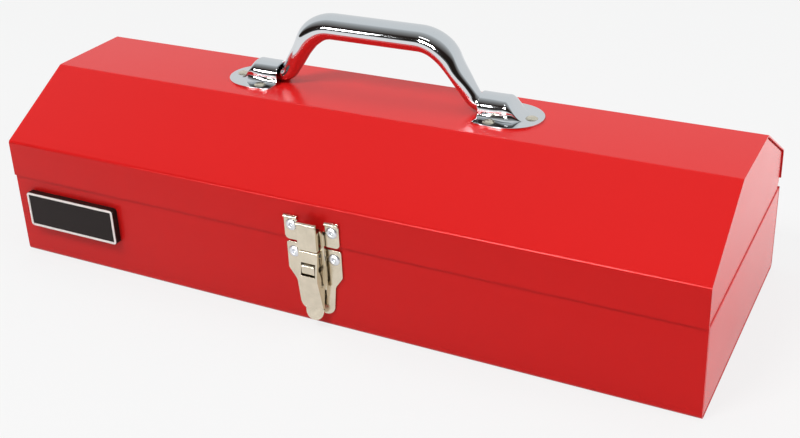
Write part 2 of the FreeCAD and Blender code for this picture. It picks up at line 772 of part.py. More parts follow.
def handle_section(place, turn):
    """Oval section of the handle at a station: round at the foot, flatter on the leg, full at the grip."""
    level = value_of(FOOT_LEVEL)
    share = (place.z - level) / (value_of(TOP) + size("grip_rise") - level)
    leg, grip = growth(share, LEG_GROWTH), growth(share, GRIP_GROWTH)
    foot = size("foot_radius")
    halves = []
    for way in ("width", "thick"):
        leg_half, grip_half = size("leg_" + way) / 2, size("grip_" + way) / 2
        halves.append(foot + (leg_half - foot) * leg + (grip_half - leg_half) * grip)
    up = V(math.sin(turn), 0, math.cos(turn))
    wide, thin = halves[0], min(halves[1], ROUNDEST * halves[0])
    oval = Part.Ellipse(place + V(0, wide, 0), place + up * thin, place)
    return Part.Wire(oval.toShape())


def make_handle():
    """Bail handle with a full oval grip, flatter legs and feet turned outwards into the brackets."""
    right = handle_path()
    left = [(V(-p.x, p.y, p.z), -turn) for p, turn in reversed(right[:-1])]
    sections = [handle_section(place, turn) for place, turn in right + left]
    handle = doc.addObject("Part::Feature", "handle")
    handle.Label = "handle"
    handle.Shape = Part.makeLoft(sections, True, True)
    return handle


def make_handle_bracket(label, side):
    """Pressed bracket of the handle: a teardrop plate raised into a tunnel for the handle's foot."""
    body = new_body(label)
    sign = "" if side > 0 else "-"
    face = f"({TOP} + plate)"
    waist = "(bracket_inner + bracket_waist)"
    half = [("bracket_inner", "bracket_half - bracket_corner"),
            ("(bracket_inner + bracket_corner)", "bracket_half"),
            (waist, "bracket_half"), (BRACKET_OUTER, "bracket_tip_half")]
    outline = [(sign + x, y) for x, y in half] + [(sign + x, f"-({y})") for x, y in reversed(half)]
    pad(body, "Z", TOP, face, outline)
    for place, radius in ((BRACKET_OUTER, "bracket_tip_round"), (waist, "bracket_round")):
        fillet(body, radius, edge_at(Z_AXIS, lambda c: near(abs(c.x), place)))
    slope_end = f"{sign}({TUNNEL_OUTER} + tunnel_slope)"
    side_view = [(sign + "bracket_inner", TOP), (sign + "bracket_inner", TUNNEL_TOP),
                 (sign + TUNNEL_OUTER, TUNNEL_TOP), (slope_end, face), (slope_end, TOP)]
    pad(body, "Y", *across(TUNNEL_HALF), side_view)
    fillet(body, "tunnel_round", edge_at(X_AXIS, lambda c: near(c.z, TUNNEL_TOP)))
    roof = f"{TUNNEL_TOP} - plate"
    wall = f"({TUNNEL_HALF} - plate)"
    inside = [(wall, f"{TOP} - {PAST}")] + rounded(wall, f"({roof})", "(tunnel_round - plate)", 1)
    pocket(body, "X", *side_span(side, f"(bracket_inner - {PAST})", TUNNEL_OUTER), mirrored(inside))
    for centre in bracket_rivets(sign):
        round_pocket(body, "Z", f"{TOP} - {PAST}", f"{TUNNEL_TOP} + {PAST}", centre, RIVET_BORE)
    return body


BADGE_LEFT = f"(badge_inset - {BODY_END})"
BADGE_FRONT = f"({BODY_BACK} + badge_thick)"


def badge_rectangle(inset):
    """Outline of the name plate, taken in by an inset."""
    return rectangle(f"{BADGE_LEFT} + {inset}", f"{BADGE_LEFT} + badge_length - {inset}",
                     f"badge_bottom + {inset}", f"badge_bottom + badge_height - {inset}")


def make_badge_plate():
    """Bare name plate on the body's front, a thick slip with rounded corners."""
    body = new_body("badge_plate")
    pad(body, "Y", BODY_BACK, BADGE_FRONT, badge_rectangle("0"))
    fillet(body, "badge_corner", edge_at(Y_AXIS))
    return body


def make_badge_border():
    """Raised line round the name plate, just inside its edge."""
    body = new_body("badge_border")
    high = f"({BADGE_FRONT} + badge_border_thick)"
    pad(body, "Y", BADGE_FRONT, high, badge_rectangle("badge_margin"))
    fillet(body, "badge_corner - badge_margin", edge_at(Y_AXIS))
    inner = badge_rectangle("(badge_margin + badge_border)")
    pocket(body, "Y", f"{BADGE_FRONT} - {PAST}", f"{high} + {PAST}", inner)
    return body


def make_tray_pan():
    """Lift-out tray, a shallow drawn pan."""
    body = new_body("tray_pan")
    outline = rectangle(*across(TRAY_HALF), *across("tray_width / 2"))
    pad(body, "Z", TRAY_FLOOR, f"{TRAY_FLOOR} + tray_height", outline)
    fillet(body, "tray_corner", edge_at(Z_AXIS))
    hollow(body, "tray_sheet", lambda face: flat_towards(face, Z_AXIS))
    return body


def make_tray_handle():
    """Steel strap over the middle of the tray, with its feet on the tray's floor."""
    body = new_body("tray_handle")
    low = f"({TRAY_FLOOR} + tray_sheet)"
    top, under = f"({TRAY_FLOOR} + tray_strap_rise)", f"({TRAY_FLOOR} + tray_strap_rise - plate)"
    foot_end = "(tray_strap_half + tray_strap_foot)"
    half = [(foot_end, low), (foot_end, f"{low} + plate"), ("tray_strap_half", f"{low} + plate"),
            ("tray_strap_half", top)]
    inner = [("(tray_strap_half - plate)", under), ("(tray_strap_half - plate)", low)]
    left_inner = [(f"-{x}", z) for x, z in reversed(inner)]
    pad(body, "Y", *across("tray_strap / 2"), mirrored(half) + left_inner + inner)
    fillet(body, "plate + tray_strap_bend", edge_at(Y_AXIS, lambda c: near(c.z, top)))
    fillet(body, "tray_strap_bend", edge_at(Y_AXIS, lambda c: near(c.z, under)))
    return body


def make_tray_ledge(label, side):
    """Angle on the end of the body that the tray rests on."""
    body = new_body(label)
    tip = f"({TRAY_HALF} - ledge_overlap)"
    wall = f"({PAN_OUTER} - sheet)"
    web = f"({wall} - sheet)"
    shelf_under, foot = f"({TRAY_FLOOR} - sheet)", f"({TRAY_FLOOR} - ledge_drop)"
    section = [(wall, TRAY_FLOOR), (tip, TRAY_FLOOR), (tip, shelf_under), (web, shelf_under),
               (web, foot), (wall, foot)]
    if side < 0:
        section = [("-" + x, z) for x, z in section]
    pad(body, "Y", *across("tray_width / 2 + ledge_margin"), section)
    return body


def finish():
    """Check every object and every sub-part, then write one file for each."""
    doc.recompute()
    bad = [o.Name for o in doc.Objects if "Invalid" in o.State or "Error" in o.State]
    if bad:
        raise RuntimeError("failed objects: " + ", ".join(bad))
    for part in PARTS:
        shape = part.Shape
        if shape.isNull() or not shape.isValid() or not shape.Solids:
            raise RuntimeError("bad shape: " + part.Label)
        shape.exportStep(f"parts/{part.Label}.step")
        box = shape.BoundBox
        print("%-20s solids %d volume %9.1f  x %.1f %.1f  y %.1f %.1f  z %.1f %.1f" % (
            part.Label, len(shape.Solids), shape.Volume, box.XMin, box.XMax, box.YMin, box.YMax,
            box.ZMin, box.ZMax))


PARTS = [
    make_body_wrap(),
    make_body_end("body_end_left", -1),
    make_body_end("body_end_right", 1),
    make_lid_wrap(),
    make_lid_end("lid_end_left", -1),
    make_lid_end("lid_end_right", 1),
    make_hinge_leaf("hinge_body_leaf", False),
    make_hinge_leaf("hinge_lid_leaf", True),
    make_hinge_pin(),
    make_keeper(),
    make_latch_base(),
    make_padlock_staple(),
    make_latch_lever(),
    make_lever_pivot_pin(),
    make_latch_loop(),
    make_rivets("keeper_rivets", "Y", f"({LID_FRONT} - sheet)", PLATE_FRONT, KEEPER_RIVETS),
    make_rivets("latch_base_rivets", "Y", f"({BODY_BACK} - sheet)", BASE_FRONT, BASE_RIVETS),
    make_handle(),
    make_handle_bracket("handle_bracket_left", -1),
    make_handle_bracket("handle_bracket_right", 1),
    make_rivets("handle_rivets_left", "Z", f"({TOP} - sheet)", f"({TOP} + plate)", bracket_rivets("-")),
    make_rivets("handle_rivets_right", "Z", f"({TOP} - sheet)", f"({TOP} + plate)", bracket_rivets("")),
    make_badge_plate(),
    make_badge_border(),
    make_tray_ledge("tray_ledge_left", -1),
    make_tray_ledge("tray_ledge_right", 1),
    make_tray_pan(),
    make_tray_handle(),
]
finish()
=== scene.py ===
"""Looks of the steel tool box: red enamelled sheet, chromed handle, nickelled latch, bare name plate."""
import json
from math import atan2, cos, hypot, pi, radians, sin, tan

import bmesh
import bpy
from bpy.props import FloatProperty, FloatVectorProperty, PointerProperty
from mathutils import Matrix, Vector


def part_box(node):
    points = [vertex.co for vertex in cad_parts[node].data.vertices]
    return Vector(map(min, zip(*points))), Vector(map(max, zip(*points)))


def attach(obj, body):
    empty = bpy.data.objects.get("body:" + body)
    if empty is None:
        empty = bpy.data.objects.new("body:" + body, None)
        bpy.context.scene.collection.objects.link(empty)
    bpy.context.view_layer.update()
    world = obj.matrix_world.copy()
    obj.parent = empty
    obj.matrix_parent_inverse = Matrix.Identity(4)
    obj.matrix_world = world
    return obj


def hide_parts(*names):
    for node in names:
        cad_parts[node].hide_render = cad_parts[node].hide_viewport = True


bl_info = {
    "name": "Steel tool box looks",
    "version": (1, 0, 0),
    "blender": (4, 5, 0),
    "location": "3D View > Sidebar > Tool box",
    "description": "Dresses the packed steel tool box in its finishes and adds its smooth metal pieces",
    "category": "Object",
}

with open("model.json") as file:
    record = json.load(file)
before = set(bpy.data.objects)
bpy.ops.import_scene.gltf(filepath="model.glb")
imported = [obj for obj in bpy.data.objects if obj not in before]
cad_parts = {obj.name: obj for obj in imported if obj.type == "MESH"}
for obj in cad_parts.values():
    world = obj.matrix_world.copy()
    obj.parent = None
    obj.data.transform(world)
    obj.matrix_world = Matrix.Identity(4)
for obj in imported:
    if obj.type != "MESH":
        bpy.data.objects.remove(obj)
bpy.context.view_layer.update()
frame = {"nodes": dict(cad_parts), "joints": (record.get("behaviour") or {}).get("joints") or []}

MM = 0.001
JOINTS = {joint["name"]: joint for joint in frame["joints"]}


def linear(hex_text):
    """Linear RGBA of an sRGB hex colour."""
    levels = [int(hex_text[at:at + 2], 16) / 255 for at in (1, 3, 5)]
    return tuple(v / 12.92 if v <= 0.04045 else ((v + 0.055) / 1.055) ** 2.4 for v in levels) + (1.0,)


def colour(title, hex_text, about):
    """A colour that a user may change."""
    return FloatVectorProperty(name=title, description=about, default=linear(hex_text), size=4,
                               subtype="COLOR", min=0.0, max=1.0)


def length(title, millimetres, about):
    """A length that a user may change, given in millimetres and kept in metres."""
    return FloatProperty(name=title, description=about, default=millimetres * MM, unit="LENGTH",
                         precision=5)


class ToolboxFinishes(bpy.types.PropertyGroup):
    """Colours of the tool box's surfaces."""
    enamel: colour("Enamel", "#CC1A19", "Red baked enamel on the body, the lid and the tray")
    enamel_glint: colour("Enamel glint", "#FF7070", "Tint of the enamel's reflection seen face on")
    chrome: colour("Chrome", "#DDE0E3", "Bright chrome plate of the handle and its brackets")
    nickel: colour("Nickel", "#DDD2BE", "Warm nickel plate of the latch")
    rivet: colour("Rivet", "#E2E4E9", "Bare aluminium of the blind rivets")
    plated_rivet: colour("Plated rivet", "#E6DECB", "Pale zinc plate of the bracket rivets")
    badge_field: colour("Badge field", "#150E0D", "Printed field of the name plate")
    badge_line: colour("Badge line", "#F0E8E4", "Raised line round the name plate")
    pin: colour("Pin", "#A9A9AB", "Drawn steel of the pins")


class ToolboxSizes(bpy.types.PropertyGroup):
    """Sizes of the details that the dressed pieces add."""
    sheet_edge: length("Sheet edge", 0.25, "Rounding of the enamelled sheets' cut edges")
    latch_edge: length("Latch edge", 0.28, "Rounding of the latch's stamped edges")
    plate: length("Plate", 1.2, "Thickness of the handle's brackets")
    foot_radius: length("Foot radius", 5.8, "Radius of the handle's feet")
    leg_width: length("Leg width", 18.0, "Width of the handle's legs from front to back")
    leg_thick: length("Leg thickness", 12.4, "Thickness of the handle's legs")
    grip_width: length("Grip width", 20.0, "Width of the grip from front to back")
    grip_thick: length("Grip thickness", 17.0, "Height of the grip's section")
    foot_inner: length("Foot bend", 68.7, "Distance from the middle to the bend of the handle's foot")
    grip_half: length("Grip half", 44.2, "Distance from the middle to the end of the straight grip")
    grip_bend: length("Grip bend", 25.0, "Radius of the bends between grip and legs")
    foot_bend: length("Foot bend radius", 9.0, "Radius of the bends between legs and feet")


def finishes():
    return bpy.context.scene.toolbox_finishes


def sizes():
    return bpy.context.scene.toolbox_sizes


# Materials

def new_material(name):
    """A material with an empty node tree apart from its shader and output."""
    material = bpy.data.materials.new(name)
    material.use_nodes = True
    tree = material.node_tree
    return material, tree, tree.nodes["Principled BSDF"]


def add(tree, kind, settings=(), links=()):
    """Adds a node; settings are its attributes or unlinked inputs, links its inputs fed by sockets."""
    made = tree.nodes.new("ShaderNode" + kind)
    for key, value in dict(settings).items():
        if isinstance(key, str) and hasattr(made, key):
            setattr(made, key, value)
        else:
            made.inputs[key].default_value = value
    for key, socket in dict(links).items():
        tree.links.new(socket, made.inputs[key])
    return made


def grain(tree, millimetres, detail=2.0, stretch=(1.0, 1.0, 1.0)):
    """Noise over the object's own coordinates whose features are about as wide as stated."""
    place = add(tree, "TexCoord").outputs["Object"]
    if stretch != (1.0, 1.0, 1.0):
        place = add(tree, "Mapping", {"Scale": stretch}, {"Vector": place}).outputs["Vector"]
    noise = add(tree, "TexNoise", {"Scale": 1.0 / (millimetres * MM), "Detail": detail}, {"Vector": place})
    return noise.outputs["Fac"]


def spread(tree, value, low, high, start=0.3, end=0.7):
    """Stretches a noise's middle range over low to high."""
    made = add(tree, "MapRange", {"From Min": start, "From Max": end, "To Min": low, "To Max": high},
               {"Value": value})
    return made.outputs["Result"]


def tinted(tree, base, darker, amount):
    """The base colour, mixed towards itself times darker by a factor socket."""
    shade = tuple(channel * darker for channel in base[:3]) + (1.0,)
    made = add(tree, "Mix", {"data_type": "RGBA"})
    made.inputs[6].default_value = base
    made.inputs[7].default_value = shade
    tree.links.new(amount, made.inputs[0])
    return made.outputs[2]


def bumps(tree, shader, layers):
    """Chains bump nodes; each layer is a height socket and its depth in millimetres."""
    normal = None
    for height, depth in layers:
        links = {"Height": height}
        if normal is not None:
            links["Normal"] = normal
        normal = add(tree, "Bump", {"Strength": 1.0, "Distance": depth * MM}, links).outputs["Normal"]
    tree.links.new(normal, shader.inputs["Normal"])


def baked_enamel():
    """Baked red enamel, sprayed: semi-gloss, with orange peel over slightly wavy sheet."""
    material, tree, shader = new_material("baked_enamel")
    base = tuple(finishes().enamel)
    clouds = spread(tree, grain(tree, 70.0), 0.0, 1.0, 0.0, 1.0)
    tree.links.new(tinted(tree, base, 0.97, clouds), shader.inputs["Base Color"])
    tree.links.new(spread(tree, grain(tree, 25.0), 0.24, 0.28, 0.0, 1.0), shader.inputs["Roughness"])
    shader.inputs["IOR"].default_value = 1.5
    shader.inputs["Specular Tint"].default_value = tuple(finishes().enamel_glint)
    bumps(tree, shader, [(grain(tree, 90.0, 0.0), 0.05), (grain(tree, 2.2, 1.0), 0.004)])
    return material


def bright_chrome():
    """Decorative chrome over polished steel: a near mirror with faint smears from handling."""
    material, tree, shader = new_material("bright_chrome")
    shader.inputs["Base Color"].default_value = tuple(finishes().chrome)
    shader.inputs["Metallic"].default_value = 1.0
    smears = spread(tree, grain(tree, 14.0, 3.0, (1.0, 1.0, 2.5)), 0.03, 0.08)
    tree.links.new(smears, shader.inputs["Roughness"])
    bumps(tree, shader, [(grain(tree, 18.0, 0.0), 0.008)])
    return material


def nickel_plate():
    """Barrel-plated nickel on stamped steel: warm, softly bright, with tumbling marks and dull patches."""
    material, tree, shader = new_material("nickel_plate")
    base = tuple(finishes().nickel)
    patches = spread(tree, grain(tree, 6.0, 3.0), 0.0, 1.0)
    tree.links.new(tinted(tree, base, 0.9, patches), shader.inputs["Base Color"])
    shader.inputs["Metallic"].default_value = 1.0
    tree.links.new(spread(tree, grain(tree, 3.0, 3.0), 0.14, 0.24), shader.inputs["Roughness"])
    bumps(tree, shader, [(grain(tree, 5.0, 1.0), 0.02), (grain(tree, 0.5, 2.0), 0.0015)])
    return material


def rivet_metal(name, base, rough):
    """Soft metal upset in a die: dull, with fine drag marks."""
    material, tree, shader = new_material(name)
    shade = spread(tree, grain(tree, 1.5, 3.0), 0.0, 1.0)
    tree.links.new(tinted(tree, tuple(base), 0.82, shade), shader.inputs["Base Color"])
    shader.inputs["Metallic"].default_value = 1.0
    dulling = spread(tree, grain(tree, 1.0, 2.0), rough - 0.06, rough + 0.08)
    tree.links.new(dulling, shader.inputs["Roughness"])
    bumps(tree, shader, [(grain(tree, 0.8, 2.0), 0.01)])
    return material


def badge_print():
    """Screen-printed plastic slip: near black with a warm cast and a pinprick speckle."""
    material, tree, shader = new_material("badge_print")
    speckle = spread(tree, grain(tree, 0.9, 2.0), 0.0, 1.0, 0.45, 0.75)
    base = tuple(finishes().badge_field)
    bright = tuple(min(1.0, channel * 2.2) for channel in base[:3]) + (1.0,)
    tree.links.new(tinted(tree, bright, 0.45, speckle), shader.inputs["Base Color"])
    tree.links.new(spread(tree, grain(tree, 8.0), 0.32, 0.42), shader.inputs["Roughness"])
    shader.inputs["Specular IOR Level"].default_value = 0.15
    bumps(tree, shader, [(grain(tree, 0.9, 2.0), 0.01)])
    return material


def badge_ink():
    """Off-white enamel ink on the raised line, slightly chalky."""
    material, tree, shader = new_material("badge_ink")
    chalk = spread(tree, grain(tree, 2.0, 2.0), 0.0, 1.0)
    tree.links.new(tinted(tree, tuple(finishes().badge_line), 0.93, chalk), shader.inputs["Base Color"])
    tree.links.new(spread(tree, grain(tree, 3.0), 0.4, 0.5), shader.inputs["Roughness"])
    bumps(tree, shader, [(grain(tree, 1.0, 1.0), 0.006)])
    return material


def drawn_steel():
    """Cold-drawn steel wire: grey and fairly bright, with marks along the wire."""
    material, tree, shader = new_material("drawn_steel")
    marks = grain(tree, 0.6, 2.0, (0.05, 1.0, 1.0))
    tree.links.new(tinted(tree, tuple(finishes().pin), 0.8, spread(tree, marks, 0.0, 1.0)),
                   shader.inputs["Base Color"])
    shader.inputs["Metallic"].default_value = 1.0
    tree.links.new(spread(tree, marks, 0.28, 0.4), shader.inputs["Roughness"])
    bumps(tree, shader, [(marks, 0.004)])
    return material


MAKERS = {
    "enamel": baked_enamel,
    "chrome": bright_chrome,
    "nickel": nickel_plate,
    "rivet": lambda: rivet_metal("aluminium_rivet", finishes().rivet, 0.34),
    "plated_rivet": lambda: rivet_metal("zinc_plated_rivet", finishes().plated_rivet, 0.2),
    "badge_print": badge_print,
    "badge_ink": badge_ink,
    "pin": drawn_steel,
}
made_materials = {}


def finish_named(name):
    """The material of that name, made the first time that it is asked for."""
    if name not in made_materials:
        made_materials[name] = MAKERS[name]()
    return made_materials[name]


# Meshes

MERGE = 0.002 * MM
# Bends below this many degrees come from the mesh's own facets
FACET_TURN = 0.4
FLAT_WEIGHT = 80


def settle(bm, name, finish, body, nodes=(), smooth_angle=38.0):
    """Turns a bmesh into a piece that rides on a body and stands for CAD nodes."""
    bmesh.ops.recalc_face_normals(bm, faces=bm.faces)
    return settle_as_is(bm, name, finish, body, nodes, smooth_angle)


def settle_as_is(bm, name, finish, body, nodes=(), smooth_angle=38.0):
    """As settle, for a mesh whose faces already point outwards."""
    mesh = bpy.data.meshes.new(name)
    bm.to_mesh(mesh)
    bm.free()
    mesh.shade_smooth()
    mesh.set_sharp_from_angle(angle=radians(smooth_angle))
    piece = bpy.data.objects.new(name, mesh)
    bpy.context.scene.collection.objects.link(piece)
    mesh.materials.append(finish_named(finish))
    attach(piece, body)
    if nodes:
        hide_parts(*nodes)
    return piece


def weighted(piece):
    """Keeps flat faces flat and lets the rounded edges carry the shading."""
    modifier = piece.modifiers.new("flat_faces", "WEIGHTED_NORMAL")
    modifier.keep_sharp = True
    modifier.weight = FLAT_WEIGHT
    return piece


def softened(node, name, finish, body, edge, segments=2, least_turn=28.0):
    """A merged copy of a CAD node with its sharp edges rounded over, standing for that node."""
    bm = bmesh.new()
    bm.from_mesh(frame["nodes"][node].data)
    bmesh.ops.remove_doubles(bm, verts=bm.verts, dist=MERGE)
    bmesh.ops.dissolve_limit(bm, angle_limit=radians(FACET_TURN), verts=bm.verts, edges=bm.edges)
    sharp = [e for e in bm.edges if len(e.link_faces) == 2 and e.calc_face_angle(0.0) > radians(least_turn)]
    bmesh.ops.bevel(bm, geom=sharp, offset=edge, offset_type="OFFSET", segments=segments, profile=0.5,
                    affect="EDGES", clamp_overlap=True, material=-1)
    return weighted(settle_as_is(bm, name, finish, body, [node], 46.0))


def mapped_grid(bm, across, along, place):
    """A grid of faces whose corners place sends from u and v, each -1 to 1, to the piece."""
    made = bmesh.ops.create_grid(bm, x_segments=across, y_segments=along, size=1.0)
    for vertex in made["verts"]:
        vertex.co = place(vertex.co.x, vertex.co.y)
    return made["verts"]


def spun(bm, profile, centre, axis, across, steps=40):
    """Spins an open profile of (radius, height) pairs about an axis and closes it into a solid."""
    verts = [bm.verts.new(centre + across * radius + axis * height) for radius, height in profile]
    edges = [bm.edges.new(pair) for pair in zip(verts, verts[1:])]
    bmesh.ops.spin(bm, geom=verts + edges, cent=centre, axis=axis, angle=2 * pi, steps=steps,
                   use_merge=True)
    bmesh.ops.remove_doubles(bm, verts=bm.verts, dist=2 * MERGE)


def ease(value):
    """Smooth step of a value limited to 0 to 1."""
    value = min(1.0, max(0.0, value))
    return value * value * (3 - 2 * value)


# Enamelled sheets

ENAMELLED = {
    "body_wrap": ("box", "body_paint"), "body_end_left": ("box", "body_paint"),
    "body_end_right": ("box", "body_paint"), "lid_wrap": ("lid", "lid_paint"),
    "lid_end_left": ("lid", "lid_paint"), "lid_end_right": ("lid", "lid_paint"),
    "hinge_body_leaf": ("box", "hinge_steel"), "hinge_lid_leaf": ("lid", "hinge_steel"),
    "tray_ledge_left": ("box", "body_paint"), "tray_ledge_right": ("box", "body_paint"),
    "tray_pan": ("tray", "tray_paint"), "tray_handle": ("tray", "tray_paint"),
}


class TOOLBOX_OT_enamelled_sheets(bpy.types.Operator):
    """Rounds and enamels the folded sheets of the body, the lid, the hinge leaves and the tray"""
    bl_idname = "toolbox.enamelled_sheets"
    bl_label = "Enamelled sheets"

    def execute(self, context):
        for node, (body, slot) in ENAMELLED.items():
            softened(node, node + "_enamelled", "enamel", body, sizes().sheet_edge)
        return {"FINISHED"}


# Handle

HANDLE_STEP = 1.6 * MM
HANDLE_AROUND = 40
# Shares of the rise from foot to grip where the leg is full, and where the grip starts and is full
LEG_FULL = 0.55
GRIP_START = 0.45
GRIP_FULL = 0.9


def handle_stations(step):
    """Centre line of half the handle, from the foot's end to the grip's middle, as points and turns."""
    level = JOINTS["handle_swing"]["pos_m"][2]
    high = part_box("handle")[1]
    grip = high.z - sizes().grip_thick / 2
    foot, knee = sizes().foot_inner, sizes().grip_half
    slant = atan2(grip - level, foot - knee)
    lower = sizes().foot_bend * tan(slant / 2)
    upper = sizes().grip_bend * tan(slant / 2)
    leg = hypot(grip - level, foot - knee) - lower - upper
    runs = [(high.x - foot - lower, 0.0), (sizes().foot_bend * slant, slant), (leg, 0.0)]
    runs += [(sizes().grip_bend * slant, -slant), (knee - upper, 0.0)]
    place, turn = Vector((high.x, 0.0, level)), 0.0
    stations = [(place, turn)]
    for run, bend in runs:
        count = max(2, round(run / step))
        for _ in range(count):
            middle = turn + bend / count / 2
            chord = run / count
            if bend:
                chord = 2 * run / abs(bend) * sin(abs(bend) / count / 2)
            place = place + Vector((-cos(middle), 0.0, sin(middle))) * chord
            turn += bend / count
            stations.append((place, turn))
    return stations, level, grip


def handle_half_widths(rise):
    """Half width and half thickness of the handle's oval at a share of the rise from foot to grip."""
    leg = ease(rise / LEG_FULL)
    grip = ease((rise - GRIP_START) / (GRIP_FULL - GRIP_START))
    foot = sizes().foot_radius
    width = foot + (sizes().leg_width / 2 - foot) * leg
    width += (sizes().grip_width - sizes().leg_width) / 2 * grip
    thick = foot + (sizes().leg_thick / 2 - foot) * leg
    thick += (sizes().grip_thick - sizes().leg_thick) / 2 * grip
    return width, thick


class TOOLBOX_OT_handle(bpy.types.Operator):
    """Sweeps the chromed bail handle along its bends, full at the grip and flatter at the legs"""
    bl_idname = "toolbox.handle"
    bl_label = "Handle"

    def execute(self, context):
        right, level, grip = handle_stations(HANDLE_STEP)
        left = [(Vector((-p.x, p.y, p.z)), -turn) for p, turn in reversed(right[:-1])]
        bm = bmesh.new()
        ring = bmesh.ops.create_circle(bm, cap_ends=False, segments=HANDLE_AROUND, radius=1.0)["verts"]
        angles = [atan2(v.co.y, v.co.x) for v in ring]
        edges = list(bm.edges)
        first = None
        for place, turn in right + left:
            if first is not None:
                made = bmesh.ops.extrude_edge_only(bm, edges=edges)["geom"]
                fresh = [g for g in made if isinstance(g, bmesh.types.BMVert)]
                edges = [g for g in made if isinstance(g, bmesh.types.BMEdge)]
                order = {v.co.copy().freeze(): n for n, v in enumerate(ring)}
                ring = sorted(fresh, key=lambda v: order[v.co.copy().freeze()])
            width, thick = handle_half_widths((place.z - level) / (grip - level))
            across = Vector((sin(turn), 0.0, cos(turn)))
            for vertex, angle in zip(ring, angles):
                vertex.co = place + Vector((0, width * cos(angle), 0)) + across * thick * sin(angle)
            if first is None:
                first = list(ring)
        bmesh.ops.contextual_create(bm, geom=first)
        bmesh.ops.contextual_create(bm, geom=ring)
        settle(bm, "handle_chromed", "chrome", "bail", ["handle"], 60.0)
        return {"FINISHED"}


# Brackets

# The tunnel's half width, and where along the bracket it starts to sink and over what length
TUNNEL_HALF = 9.4 * MM
TUNNEL_END = 17.5 * MM
TUNNEL_RUN = 12.0 * MM
TUNNEL_NARROWING = 0.25
# Radius between tunnel and flange, at the mouth and where the tunnel has sunk
ROOT_FILLET = 2.2 * MM
FLARED_FILLET = 4.2 * MM
# Most of the flange's half width that the tunnel and its fillet take
TUNNEL_SHARE = 0.5
FILLET_SHARE = 0.3
# Shares of the way from the ridge to the flange's edge where the crown and the fillet end
CROWN_END = 0.5
FILLET_END = 0.72
# The flange's outline: widest at the shoulder, a little narrower at the mouth, round at the tip
SHOULDER = 0.4
MOUTH_TAPER = 0.1
TIP_ROUNDNESS = 2.1
TIP = 0.999
BRACKET_EDGE = 0.3 * MM
BRACKET_ALONG = 80
BRACKET_ACROSS = 96


def bracket_outline(share):
    """Half width of the bracket's flange at a share of its length, as a part of its full half width."""
    if share < SHOULDER:
        return 1.0 - MOUTH_TAPER * (1 - share / SHOULDER) ** 3
    return max(0.0, 1 - ((share - SHOULDER) / (1 - SHOULDER)) ** TIP_ROUNDNESS) ** 0.5


def bracket_section(height, half, fillet, edge, where):
    """Point of the bracket's section at a share from the ridge to the flange's edge, as (out, up)."""
    fillet = min(fillet, 0.55 * height)
    if where < CROWN_END:
        angle = where / CROWN_END * pi / 2
        return half * sin(angle) ** 0.85, fillet + (height - fillet) * cos(angle) ** 0.75
    if where < FILLET_END:
        angle = (where - CROWN_END) / (FILLET_END - CROWN_END) * pi / 2
        return half + fillet * (1 - cos(angle)), fillet * (1 - sin(angle))
    start = half + fillet
    return start + (edge - start) * (where - FILLET_END) / (1 - FILLET_END), 0.0


def make_bracket(side):
    """One pressed bracket on its side of the handle, 1 for right and -1 for left."""
    node = "handle_bracket_right" if side > 0 else "handle_bracket_left"
    low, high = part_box(node)
    inner = low.x if side > 0 else -high.x
    reach = high.x - low.x
    half_width = high.y
    face = low.z + sizes().plate
    rise = high.z - face

    def place(u, v):
        share = min(TIP, (u + 1) / 2)
        out = share * reach
        falling = ease((out - TUNNEL_END) / TUNNEL_RUN)
        height = rise * (1 - falling)
        flare = ease((out - TUNNEL_END / 2) / TUNNEL_RUN)
        edge = half_width * bracket_outline(share)
        half = min(TUNNEL_HALF * (1 - TUNNEL_NARROWING * falling), edge * TUNNEL_SHARE)
        fillet = min(ROOT_FILLET + (FLARED_FILLET - ROOT_FILLET) * flare, edge * FILLET_SHARE)
        across, up = bracket_section(max(height, 0.0), half, fillet, edge, abs(v))
        return Vector((side * (inner + out), across * (1 if v > 0 else -1), face + up))

    bm = bmesh.new()
    mapped_grid(bm, BRACKET_ALONG, BRACKET_ACROSS, place)
    bmesh.ops.remove_doubles(bm, verts=bm.verts, dist=5 * MERGE)
    bmesh.ops.recalc_face_normals(bm, faces=bm.faces)
    if sum(f.normal.z for f in bm.faces) < 0:
        bmesh.ops.reverse_faces(bm, faces=bm.faces)
    piece = settle_as_is(bm, node + "_pressed", "chrome", "lid", [node], 60.0)
    wall = piece.modifiers.new("wall", "SOLIDIFY")
    wall.thickness = sizes().plate
    wall.offset = -1.0
    rounding = piece.modifiers.new("rounding", "BEVEL")
    rounding.width = BRACKET_EDGE
    rounding.segments = 2
    rounding.limit_method = "ANGLE"
    rounding.angle_limit = radians(50)
    return piece


class TOOLBOX_OT_brackets(bpy.types.Operator):
    """Presses the two teardrop brackets, each with a tunnel that flares into its flange"""
    bl_idname = "toolbox.brackets"
    bl_label = "Handle brackets"

    def execute(self, context):
        for side in (-1, 1):
            make_bracket(side)
        return {"FINISHED"}


# Rivets

# Heads as (radius, height above the sheet), and the blind side as (radius, height above its own end)
BLIND_HEAD = [(0.9, 0.15), (0.95, 0.9), (1.3, 1.25), (2.2, 1.22), (3.2, 0.9), (3.75, 0.4), (3.9, 0.0)]
DOMED_HEAD = [(0.0, 1.25), (1.2, 1.22), (2.3, 1.05), (3.1, 0.72), (3.7, 0.25), (3.9, 0.0)]
SHANK = 1.55
BLIND_SIDE = [(SHANK, 1.4), (2.6, 1.2), (2.5, 0.2), (2.0, 0.0), (0.0, 0.0)]


